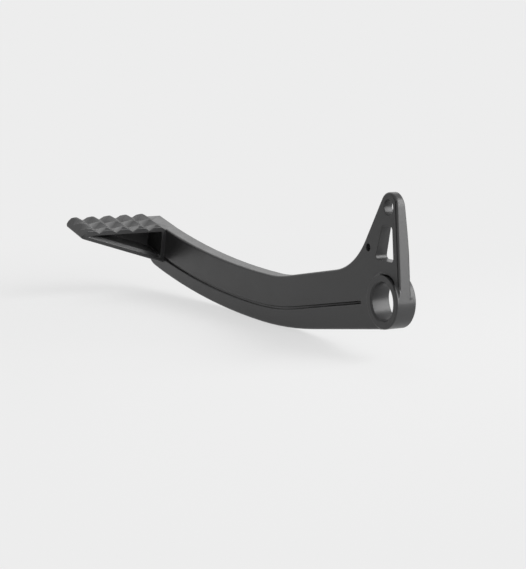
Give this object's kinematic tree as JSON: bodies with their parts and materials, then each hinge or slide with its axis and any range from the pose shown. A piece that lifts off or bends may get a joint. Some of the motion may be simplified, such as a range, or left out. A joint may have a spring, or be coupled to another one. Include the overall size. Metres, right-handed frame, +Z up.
{
  "type": "rear brake pedal",
  "caption": "Motorbike rear brake pedal: a sagging bar with a pivot boss, an upright crank with a push rod eye and window, and a hollow toothed foot pad at its end.",
  "frame": {"origin": "centre of the pivot bore, in the middle of the boss's length", "axes": "+Y along the pivot bore, away from the foot pad; -X along the arm towards the foot pad; +Z up, towards the crank's eye"},
  "size_m": [0.2309, 0.052, 0.0652],
  "materials": {
    "black_aluminium": "satin black anodised over a fine blasted surface"
  },
  "bodies": {
    "root": {"brake_pedal": "black_aluminium"}
  },
  "joints": []
}
